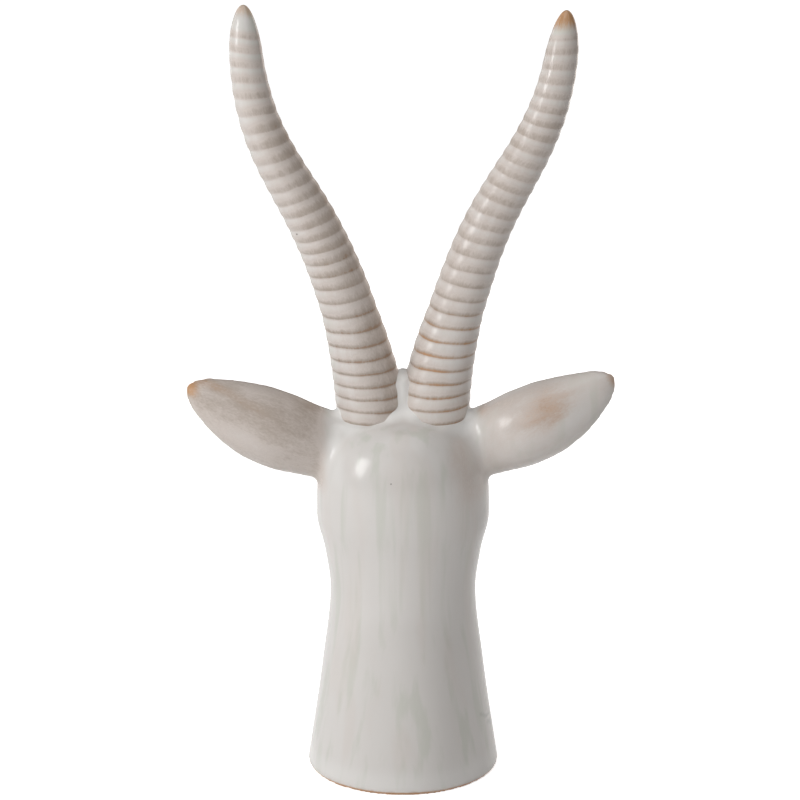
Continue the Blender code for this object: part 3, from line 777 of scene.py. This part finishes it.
def soften(mesh):
    s = claySizes
    spots, ends = meshArrays(mesh)
    counts = np.maximum(np.bincount(ends.ravel(), minlength=len(spots)), 1)
    evenOut(spots, ends, counts, s["settlePasses"])
    onLeft = np.column_stack([np.abs(spots[:, 0]), spots[:, 1:]])
    share = np.zeros(len(spots))
    for *corner, near, far, most in s["corners"]:
        share = np.maximum(share, most * (1 - softStep(near, far, np.linalg.norm(onLeft - corner, axis=1))))
    for i in range(s["fillPasses"]):  # only points in a hollow move, and only outwards
        if i % s["normalPasses"] == 0:
            mesh.vertices.foreach_set("co", spots.ravel())
            mesh.update()
            normals = vertexNormals(mesh)
        pull = neighbourMean(spots, ends, counts) - spots
        outward = np.sum(pull * normals, axis=1)
        spots += pull * (np.clip(outward / s["hollowDepth"], 0, 1) * s["fillStep"] * share)[:, None]
    evenOut(spots, ends, counts, s["polishPasses"])
    pullInAboveRings(spots)
    spots[:, 2] = np.where(spots[:, 2] < s["flatFoot"], 0.0, spots[:, 2])
    spots[:, 1] = np.clip(spots[:, 1], cadLow[1] - footPlace.y + s["boxMargin"],
                          cadHigh[1] - footPlace.y - s["boxMargin"])
    mesh.vertices.foreach_set("co", spots.ravel())
    mesh.update()


def makeBust():
    s, muzzle = bustSizes, Muzzle(muzzleSizes)
    forms = [makeBustForm("bust", s["sides"]), muzzle.form("muzzle", muzzleSizes["sides"], muzzleSizes["rows"]),
             makeEar("leftEar", 1), makeEar("rightEar", -1), makeHornStub("leftStub", 1),
             makeHornStub("rightStub", -1), makeWeb()]
    forms += [muzzle.lens("eye", side) for side in (1, -1)]
    bust = joinedForms("bustAndEars", forms)
    mesh = rebuiltSkin(bust)
    print("skin rebuilt:", len(mesh.vertices), "points")
    soften(mesh)
    print("skin softened")
    cutters = [makeBustForm("hollow", s["hollowSides"], s["wall"]),
               muzzle.form("muzzleHollow", muzzleSizes["hollowSides"], muzzleSizes["hollowRows"], s["wall"])]
    cutters += [muzzle.lens("nostril", side) for side in (1, -1)]
    cutters += [muzzle.lipGroove("lip", side) for side in (1, -1)]
    for cutter in cutters:
        step = bust.modifiers.new(cutter.name, "BOOLEAN")
        step.operation, step.solver, step.object = "DIFFERENCE", "EXACT", cutter
    mesh = bakedMesh(bust)
    for cutter in cutters:
        bpy.data.objects.remove(cutter, do_unlink=True)
    reworkMesh(mesh, lambda shape: bmesh.ops.dissolve_degenerate(shape, edges=shape.edges,
                                                                 dist=claySizes["needleLength"]))
    mesh.transform(Matrix.Translation(footPlace))
    mesh.name = "bustAndEars"
    mesh.shade_smooth()
    print("bust hollowed:", len(mesh.vertices), "points")
    return bust


# Glaze

glazeColours = {
    "milk": "#D9D5D1",  # full thickness
    "cool": "#CDCDC4",  # greenish grey where a run of glaze is thicker
    "blush": "#D4CAC3",  # warmed by the clay underneath
    "pooled": "#E6E4E1",  # gathered in grooves and corners, also painted light on the horns' ring tops and in the crease under the left ear
    "tan": "#B4A79C",  # thin over a ridge, greyed so that it also paints shade on the lower part of each horn ring
    "brown": "#A48A76",  # nearly bare
    "drip": "#A3A59D",  # a thick run
    "rust": "#BC8F66",  # bare and burnt, at the tips and the rim
    "pinhole": "#5B4A3C",
}
glazeFinish = {
    "IOR": 1.5,
    "roughness": 0.19,
    "thinRoughness": 0.42,
    "thinRange": (0.12, 0.6),  # share of thin glaze over which it turns matt
    "peelHeight": 0.012 * mm,
    "runHeight": 0.04 * mm,
    "pinholeSize": 0.45 * mm,
    "pinholeEdge": (0.4, 1.3),
    "pinholeShare": 0.8,
    "pinholeStretch": (1.0, 0.15, 1.0),  # longer from front to back, so that it reaches the skin
    "noiseRange": (0.32, 0.68),  # the part of a noise that is spread over a pattern's shares
    # streaks and clouds: along the brush or not, width, length, detail, roughness, lowest and highest share
    "patterns": {
        "runs": (False, 7.0 * mm, 150 * mm, 3.0, 0.5, 0.0, 1.0),
        "veil": (False, 15.0 * mm, 110 * mm, 2.0, 0.5, 0.0, 1.0),
        "cloud": (False, 16.0 * mm, 22 * mm, 2.0, 0.5, 0.80, 1.15),
        "hatch": (True, 0.7 * mm, 1.6 * mm, 2.0, 0.6, 0.82, 1.12),  # drawn coarser than it is, so that it shows
        "streak": (True, 2.6 * mm, 16 * mm, 3.0, 0.6, 0.86, 1.16),
        "peel": (False, 2.6 * mm, 3.6 * mm, 1.0, 0.5, 0.0, 1.0),
    },
    # from full glaze to bare clay: what spreads, where it starts and is full, how far it goes, its colour
    "layers": [
        ("runs", 0.45, 0.95, 0.75, "cool"),
        ("veil", 0.50, 0.95, 0.30, "blush"),
        ("run share", 0.0, 1.0, 1.0, "drip"),
        # gathered glaze whitens, and so does painted light on the ring tops and in the left crease
        ("pooled and lit share", 0.0, 1.0, 1.0, "pooled"),
        # thin glaze, which on the horn rings and the right of the dome also paints shade
        ("thin", 0.02, 0.30, 1.0, "blush"),
        ("thin", 0.20, 0.64, 1.0, "tan"),
        ("thin", 0.62, 0.98, 1.0, "brown"),
        ("warm", 0.10, 0.85, 1.0, "rust"),
    ],
}
pinholes = [(.0055, .034, .1433), (.0133, .047, .0461), (-.0257, .035, .0040), (.0485, .012, .2559),
            (-.0237, .010, .1719)]  # out, back and up from the foot's middle
glazeRuns = [  # thick runs that stand as a soft grey line: points (out, up) on the back, width, strength
    ([(-.0368, .0288), (-.0395, .0260), (-.0428, .0248), (-.0453, .0253)], .0009, 0.50),
    ([(-.0405, .0232), (-.0425, .0200), (-.0440, .0172)], .0010, 0.45),
]
hornGlaze = {
    # thin glaze: everywhere, on the side towards the other horn, and at each ring's lower edge, where it also
    # paints shade
    "leftHorn": {"all": 0.09, "inner": 0.32, "edge": 0.66, "innerEdge": 0.16, "tip": 0.50, "tipLength": 6 * mm,
                 "edgeWarm": 0.10},
    "rightHorn": {"all": 0.14, "inner": 0.06, "edge": 0.70, "innerEdge": 0.0, "tip": 0.78, "tipLength": 9 * mm,
                  "edgeWarm": 0.38},
    # over one ring from its lower edge up: thin glaze low on the horn and near the tip, which also paints shade
    # on the ring's downward-facing lower part, and gathered glaze, which also paints light on its upward-facing
    # top
    "edgeThinAndShade": [(0, .95), (.09, .90), (.20, .50), (.36, .20), (.55, .08), (.72, .02), (.88, .0), (1, .25)],
    "softThinAndShade": [(0, .32), (.12, .44), (.32, .42), (.52, .26), (.72, .09), (.90, .04), (1, .16)],
    "pooledAndLitTop": [(0, 0), (.50, 0), (.80, .35), (1, .4)],
    # distances from the tip over which thin glaze, the inner side and crisp edges set in
    "thinFrom": (7 * mm, 14 * mm),
    "innerFrom": (20 * mm, 80 * mm),
    "crispFrom": (100 * mm, 175 * mm),
    "tipFade": (0.3, 1.4),  # shares of the tip's length
    # how uneven the edges are: strength, waves round the horn, turn from ring to ring, start
    "waves": [(0.5, 0, 0.83, 1.1), (0.6, 1, 0.37, 0.0), (0.4, 2, -0.61, 2.0)],
    "waveOnThin": 0.16,
    "softWarm": 0.3,  # how warm a soft edge is beside a crisp one
    "innerDry": 0.5,  # gathered glaze that is missing on the inner side
}
earGlaze = {
    "left": {"all": 0.40, "slope": 24},
    "right": {"all": 0.19, "slope": 27},
    "fromOut": (.032, .041),  # over which the ear's glaze sets in
    "fromUp": (.128, .140),
    "brushFromUp": .12,
    "patchBack": (-.012, -.002),  # patches lie behind this
    # thin patches on the back, the last four on the right of the dome also painted shade: side, out, up, length
    # along the ear, width, thin, warm
    "patches": [
        (1, .0992, .1836, .0050, .0042, .14, .80), (1, .0905, .1858, .0090, .0024, .10, .34),
        (1, .0783, .1804, .0130, .0030, .10, .20), (1, .0880, .1756, .0080, .0024, .08, .14),
        (1, .0665, .1733, .0110, .0042, .10, .16), (1, .0432, .1729, .0050, .0034, .16, .18),
        (1, .0520, .1640, .0200, .0100, .07, .00), (1, .0760, .1610, .0240, .0050, -.16, .00),
        (-1, .0972, .1880, .0026, .0056, .20, .50), (-1, .0680, .1751, .0150, .0100, .12, .40),
        (-1, .0575, .1690, .0110, .0056, .10, .14), (-1, .0354, .1710, .0044, .0030, .14, .30),
        (-1, .0452, .1763, .0130, .0030, .10, .16), (-1, .0800, .1720, .0200, .0080, -.12, .00),
        # these four lie on the right of the dome and cheek: partly thin glaze, partly painted shade where the
        # deep crease by the right ear shades it
        (-1, .0250, .1560, .0060, .0070, .22, .00), (-1, .0285, .1470, .0065, .0080, .26, .00),
        (-1, .0310, .1370, .0070, .0090, .22, .00), (-1, .0300, .1180, .0080, .0160, .12, .00),
    ],
}
rimGlaze = {"bareBelow": (0.8 * mm, 2.0 * mm), "thin": 0.75}
gatheredGlazeAndLight = {  # share, and the distances over which it sets in or fades
    "hornShare": 0.85,
    "hornFade": (2.0 * mm, 8.5 * mm),
    "searchReach": 0.02,
    "searchFromUp": 0.15,
    "creasePooledAndLitShare": (0.65, 0.25),  # under the left ear and under the right: gathered glaze, painted lighter in the lit left crease than in the shaded right
    "creaseOut": 0.031,
    "creaseWidth": 0.0045,
    "creaseFromUp": (0.134, 0.146),
    "footShare": 0.45,
    "footFrom": (1.5 * mm, 4 * mm),
    "footFade": (6 * mm, 15 * mm),
    "covers": 0.85,  # how much of the thin glaze it hides
}
brushRadius = 12 * mm


def pointValues(mesh, name):
    values = np.empty(len(mesh.vertices))
    mesh.attributes[name].data.foreach_get("value", values)
    return values


def hornGlazeLightAndShade(mesh, name):
    # thin glaze over the lower edge of each ring, also painted shade there; gathered glaze in the groove under
    # it, also painted light on each ring's top; a bare tip
    h, g = hornGlaze, hornGlaze[name]
    rise, number, drop, turn = [pointValues(mesh, mark) for mark in hornMarks]
    inner = 0.5 - 0.5 * np.cos(turn)
    wave = sum(strength * np.sin(turn * waves + number * ringTurn + start)
               for strength, waves, ringTurn, start in h["waves"])
    crisp, belowTip = softStep(*h["crispFrom"], drop), softStep(*h["thinFrom"], drop)
    # painted shade: each ring darker towards its lower edge, where its underside faces down, on top of the thin
    # glaze and brown line there
    ringThinAndShade = smoothCurve(h["edgeThinAndShade"], rise) * crisp + smoothCurve(h["softThinAndShade"], rise) * (1 - crisp)
    thin = belowTip * (g["all"] + g["inner"] * inner * softStep(*h["innerFrom"], drop)
                       + ringThinAndShade * (g["edge"] + g["innerEdge"] * inner) * (1 + h["waveOnThin"] * wave))
    warm = g["tip"] * (1 - softStep(*h["tipFade"], drop / g["tipLength"]))
    edgeWarm = g["edgeWarm"] * ringThinAndShade * (h["softWarm"] + (1 - h["softWarm"]) * crisp) * (1 + wave)
    # painted light: each ring whiter at its upward-facing top, on top of the glaze gathered under the ring
    # above
    pooled = smoothCurve(h["pooledAndLitTop"], rise) * belowTip * (1 - h["innerDry"] * g["inner"] * inner)
    brush = np.column_stack([np.cos(turn) * brushRadius, np.sin(turn) * brushRadius, drop])
    storeOnPoints(mesh, thinGlaze=thin, warmGlaze=np.maximum(warm, edgeWarm), pooledGlaze=pooled,
                  runGlaze=np.zeros(len(drop)), brushPlace=brush)


def sloped(slope, out, up):
    # places along and beside a line that rises by this angle
    return out * math.cos(slope) + up * math.sin(slope), up * math.cos(slope) - out * math.sin(slope)


def bustGlazeLightAndShade(mesh, hornTrees):
    spots, _ = meshArrays(mesh)
    x, y, z = (spots - np.array(footPlace)).T
    out, side = np.abs(x), np.sign(x)
    brush = np.column_stack([x, y, z])
    thin, warm, runs = np.zeros(len(x)), np.zeros(len(x)), np.zeros(len(x))

    e = earGlaze
    ear = softStep(*e["fromOut"], out) * softStep(*e["fromUp"], z)
    for earSide, key in ((1, "left"), (-1, "right")):
        slope = math.radians(e[key]["slope"])
        here = (side == earSide) & (out > e["fromOut"][0]) & (z > e["brushFromUp"])
        along, beside = sloped(slope, out, z)
        brush[here] = np.column_stack([beside, y, along])[here]
        thin += e[key]["all"] * ear * (side == earSide)
        for patchSide, patchOut, patchUp, length, width, patchThin, patchWarm in e["patches"]:
            if patchSide == earSide:
                farAlong, farBeside = sloped(slope, out - patchOut, z - patchUp)
                share = (np.exp(-(farAlong / length) ** 2 - (farBeside / width) ** 2) * (side == earSide)
                         * softStep(*e["patchBack"], y))
                thin += patchThin * share
                warm += patchWarm * share

    rim = 1 - softStep(*rimGlaze["bareBelow"], z)
    warm, thin = np.maximum(warm, rim), np.maximum(thin, rimGlaze["thin"] * rim)

    g = gatheredGlazeAndLight
    far = g["searchReach"]
    nearHorn = np.array([min(tree.find_nearest(Vector(p), far)[3] or far for tree in hornTrees)
                         if p[2] > g["searchFromUp"] else far for p in spots])
    # whiter creases between skull and ears: partly gathered glaze, partly painted light, stronger in the lit
    # left crease than in the shaded right
    crease = (np.exp(-((out - g["creaseOut"]) / g["creaseWidth"]) ** 2) * softStep(*g["creaseFromUp"], z)
              * (y > 0))
    pooled = np.maximum(g["hornShare"] * (1 - softStep(*g["hornFade"], nearHorn)),
                        np.where(x > 0, *g["creasePooledAndLitShare"]) * crease)
    foot = softStep(*g["footFrom"], z) * (1 - softStep(*g["footFade"], z))
    pooled = np.maximum(pooled, g["footShare"] * foot)

    for points, width, strength in glazeRuns:
        ends = np.array(points)
        for start, end in zip(ends, ends[1:]):
            step, fromX, fromZ = end - start, x - start[0], z - start[1]
            share = np.clip((fromX * step[0] + fromZ * step[1]) / np.sum(step ** 2), 0, 1)
            distance = np.hypot(fromX - share * step[0], fromZ - share * step[1])
            runs = np.maximum(runs, strength * np.exp(-(distance / width) ** 2) * (y > 0))
    bare = 1 - g["covers"] * pooled
    storeOnPoints(mesh, thinGlaze=np.maximum(thin, 0) * bare, warmGlaze=warm * bare, pooledGlaze=pooled,
                  runGlaze=runs, brushPlace=brush)


def reactiveGlaze():
    # Reactive white glaze fired on brown stoneware: a glassy, slightly wavy skin, milky where it is thick and
    # breaking to pinkish tan and brown where it runs thin over ridges, tips and the rim of the foot
    # The thin share also paints shade on the horn rings and on the right of the dome, and the gathered share
    # paints light on the ring tops and in the crease under the left ear.
    f, tints = glazeFinish, {name: linearColour(code) for name, code in glazeColours.items()}
    material = bpy.data.materials.new("reactiveWhiteGlaze")
    material.use_nodes = True
    tree = material.node_tree
    shader = tree.nodes["Principled BSDF"]
    shader.inputs["IOR"].default_value = f["IOR"]
    known = {"place": addNode(tree, "ShaderNodeTexCoord").outputs["Object"]}
    for name, attribute, output in (("brush place", "brushPlace", "Vector"), ("thin glaze and shade share", "thinGlaze", "Fac"),
                                    ("warm share", "warmGlaze", "Fac"), ("pooled and lit share", "pooledGlaze", "Fac"),
                                    ("run share", "runGlaze", "Fac")):
        known[name] = addNode(tree, "ShaderNodeAttribute", {"attribute_name": attribute}).outputs[output]

    for name, (brushed, width, length, detail, roughness, low, high) in f["patterns"].items():
        stretch = addNode(tree, "ShaderNodeMapping", {"label": name},
                          {"Vector": known["brush place" if brushed else "place"],
                           "Scale": (1 / width, 1 / width, 1 / length)}).outputs[0]
        noise = addNode(tree, "ShaderNodeTexNoise", {"label": name},
                        {"Vector": stretch, "Scale": 1.0, "Detail": detail, "Roughness": roughness})
        known[name] = addNode(tree, "ShaderNodeMapRange", {"label": name},
                              {"Value": noise.outputs["Fac"], "From Min": f["noiseRange"][0],
                               "From Max": f["noiseRange"][1], "To Min": low, "To Max": high}).outputs[0]
    addSums(tree, known, numberSum, [
        ("broken", "MULTIPLY", "hatch", "streak"),
        ("mottled", "MULTIPLY", "broken", "cloud"),
        ("thin", "MULTIPLY", "thin glaze and shade share", "mottled"),
        ("warm", "MULTIPLY", "warm share", "mottled")])

    colour = tints["milk"]
    for source, start, full, most, name in f["layers"]:
        amount = addNode(tree, "ShaderNodeMapRange", {"interpolation_type": "SMOOTHSTEP", "label": name},
                         {"Value": known[source], "From Min": start, "From Max": full,
                          "To Max": most}).outputs[0]
        colour = addNode(tree, "ShaderNodeMix", {"data_type": "RGBA", "label": name},
                         {0: amount, 6: colour, 7: tints[name]}).outputs[2]

    # pinholes, where a bubble broke in the kiln
    nearest = None
    for i, spot in enumerate(pinholes):
        addSums(tree, known, arrowSum, [
            (f"pin step {i}", "SUBTRACT", "place", tuple(Vector(spot) + footPlace)),
            (f"pin flat {i}", "MULTIPLY", f"pin step {i}", f["pinholeStretch"])])
        distance = addNode(tree, arrowSum, {"operation": "LENGTH"},
                           {0: known[f"pin flat {i}"]}).outputs["Value"]
        nearest = distance if nearest is None else addNode(tree, numberSum, {"operation": "MINIMUM"},
                                                           {0: nearest, 1: distance}).outputs[0]
    start, end = [share * f["pinholeSize"] for share in f["pinholeEdge"]]
    pit = addNode(tree, "ShaderNodeMapRange", {"interpolation_type": "SMOOTHSTEP"},
                  {"Value": nearest, "From Min": start, "From Max": end, "To Min": f["pinholeShare"],
                   "To Max": 0.0}).outputs[0]
    colour = addNode(tree, "ShaderNodeMix", {"data_type": "RGBA"},
                     {0: pit, 6: colour, 7: tints["pinhole"]}).outputs[2]
    tree.links.new(colour, shader.inputs["Base Color"])

    gloss = addNode(tree, "ShaderNodeMapRange", None,
                    {"Value": known["thin"], "From Min": f["thinRange"][0], "From Max": f["thinRange"][1],
                     "To Min": f["roughness"], "To Max": f["thinRoughness"]}).outputs[0]
    tree.links.new(gloss, shader.inputs["Roughness"])
    skin = addNode(tree, "ShaderNodeBump", None,
                   {"Height": known["peel"], "Distance": f["peelHeight"]}).outputs[0]
    skin = addNode(tree, "ShaderNodeBump", None,
                   {"Height": known["runs"], "Distance": f["runHeight"], "Normal": skin}).outputs[0]
    tree.links.new(skin, shader.inputs["Normal"])
    return material


# Studio

studio = {
    "floorColour": "#F4F4F4",
    "floorRoughness": 0.9,
    "floorGlowReach": (0.25, 1.3),
    "floorGlowNear": 0.78,
    "floorGlowFar": 1.0,
    "floorInGlaze": 0.6,
    "floorHalfSize": 14.0,
    "worldLight": 0.12,
    # angle to the photo's left from the camera's axis, height angle, distance, width, height, watts, seen in
    # the glaze or not, tint
    "lights": {
        "keyStrip": (62, 18, 1.3, 0.36, 0.50, 4.2, True, "#FFFFFF"),
        "leftPanel": (78, 12, 1.6, 1.2, 1.2, 1.5, True, "#FFFFFF"),
        "frontPanel": (20, 28, 1.6, 1.2, 1.2, 10.2, False, "#FFFFFF"),
        "topPanel": (0, 80, 1.2, 1.0, 1.0, 3.2, True, "#FFFFFF"),
        "backLeftPanel": (125, 20, 1.5, 1.0, 1.2, 3.0, True, "#FFFFFF"),
        "backRightPanel": (-146, 10, 1.5, 0.9, 1.3, 5.5, True, "#FFF0E4"),
        "leftBackdrop": (160, 4, 1.6, 0.9, 1.3, 2.0, True, "#FFFFFF"),
    },
    "middle": Vector((0, 0.02, 0.18)),
}
cameraSetup = {
    "place": Vector((-0.00109, 1.22504, 0.42)),
    "target": Vector((-0.00109, 0.02504, 0.17604)),
    "lens": 117.8,
    "sensor": 36.0,
    "shiftX": -0.00375,
    "clip": (0.01, 100.0),
}


def makeCamera():
    c, camera = cameraSetup, newObject("camera", bpy.data.cameras.new("camera"))
    camera.location = c["place"]
    camera.rotation_euler = (c["target"] - c["place"]).to_track_quat("-Z", "Y").to_euler()
    camera.data.lens, camera.data.sensor_width, camera.data.shift_x = c["lens"], c["sensor"], c["shiftX"]
    camera.data.clip_start, camera.data.clip_end = c["clip"]
    bpy.context.scene.camera = camera
    bpy.context.scene.view_settings.view_transform = "Standard"


def makeLights():
    for name, values in studio["lights"].items():
        sideAngle, heightAngle, distance, width, height, watts, shines, tint = values
        lamp = bpy.data.lights.new(name, "AREA")
        lamp.shape, lamp.size, lamp.size_y, lamp.energy = "RECTANGLE", width, height, watts
        lamp.color = linearColour(tint)[:3]
        light = newObject(name, lamp)
        light.visible_glossy = shines
        a, e = math.radians(sideAngle), math.radians(heightAngle)
        way = Vector((math.sin(a) * math.cos(e), math.cos(a) * math.cos(e), math.sin(e)))
        light.location = studio["middle"] + way * distance
        light.rotation_euler = (-way).to_track_quat("-Z", "Y").to_euler()

    # the camera sees the surroundings white, and they add only a little light
    world = bpy.data.worlds.new("studio")
    bpy.context.scene.world = world
    world.use_nodes = True
    tree = world.node_tree
    tree.nodes.clear()
    seen = addNode(tree, "ShaderNodeLightPath").outputs["Is Camera Ray"]
    strength = addNode(tree, "ShaderNodeMix", {"data_type": "FLOAT"},
                       {0: seen, 2: studio["worldLight"], 3: 1.0}).outputs[0]
    back = addNode(tree, "ShaderNodeBackground", None, {"Color": (1, 1, 1, 1), "Strength": strength})
    addNode(tree, "ShaderNodeOutputWorld", None, {0: back.outputs[0]})


def makeFloor():
    mesh, half = bpy.data.meshes.new("floor"), studio["floorHalfSize"]
    corners = [(-half, -half, 0), (half, -half, 0), (half, half, 0), (-half, half, 0)]
    mesh.from_pydata(corners, [], [(0, 1, 2, 3)])
    # white paper sweep, matt, and overexposed to white away from the object as in a product photo
    paper = bpy.data.materials.new("whitePaperSweep")
    paper.use_nodes = True
    tree = paper.node_tree
    shader = tree.nodes["Principled BSDF"]
    shader.inputs["Base Color"].default_value = linearColour(studio["floorColour"])
    shader.inputs["Roughness"].default_value = studio["floorRoughness"]
    shader.inputs["Emission Color"].default_value = (1, 1, 1, 1)
    away = addNode(tree, arrowSum, {"operation": "LENGTH"},
                   {0: addNode(tree, "ShaderNodeTexCoord").outputs["Object"]}).outputs["Value"]
    near, far = studio["floorGlowReach"]
    glow = addNode(tree, "ShaderNodeMapRange", {"interpolation_type": "SMOOTHSTEP"},
                   {"Value": away, "From Min": near, "From Max": far, "To Min": studio["floorGlowNear"],
                    "To Max": studio["floorGlowFar"]}).outputs[0]
    # white to the eye and in the glaze, without adding light
    ray = addNode(tree, "ShaderNodeLightPath").outputs
    seen = addNode(tree, numberSum, {"operation": "MULTIPLY_ADD"},
                   {0: ray["Is Glossy Ray"], 1: studio["floorInGlaze"], 2: ray["Is Camera Ray"]}).outputs[0]
    glow = addNode(tree, numberSum, {"operation": "MULTIPLY"}, {0: glow, 1: seen}).outputs[0]
    tree.links.new(glow, shader.inputs["Emission Strength"])
    mesh.materials.append(paper)
    newObject("floor", mesh)


def addPiece(piece, glaze):
    piece.data.materials.clear()
    piece.data.materials.append(glaze)
    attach(piece, "root")
    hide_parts(cadNode)


print("camera, light and floor")
makeCamera()
makeLights()
makeFloor()
glaze = reactiveGlaze()
print("ringed horns")
hornTrees = []
for hornName, hornSide in hornSides.items():
    horn = makeHorn(hornName, hornSide, glaze)
    hornGlazeLightAndShade(horn.data, hornName)
    hornTrees.append(BVHTree.FromObject(horn, bpy.context.evaluated_depsgraph_get()))
    addPiece(horn, glaze)
    print(hornName, len(horn.data.polygons), "faces")
print("bust and ears")
bust = makeBust()
bustGlazeLightAndShade(bust.data, hornTrees)
addPiece(bust, glaze)
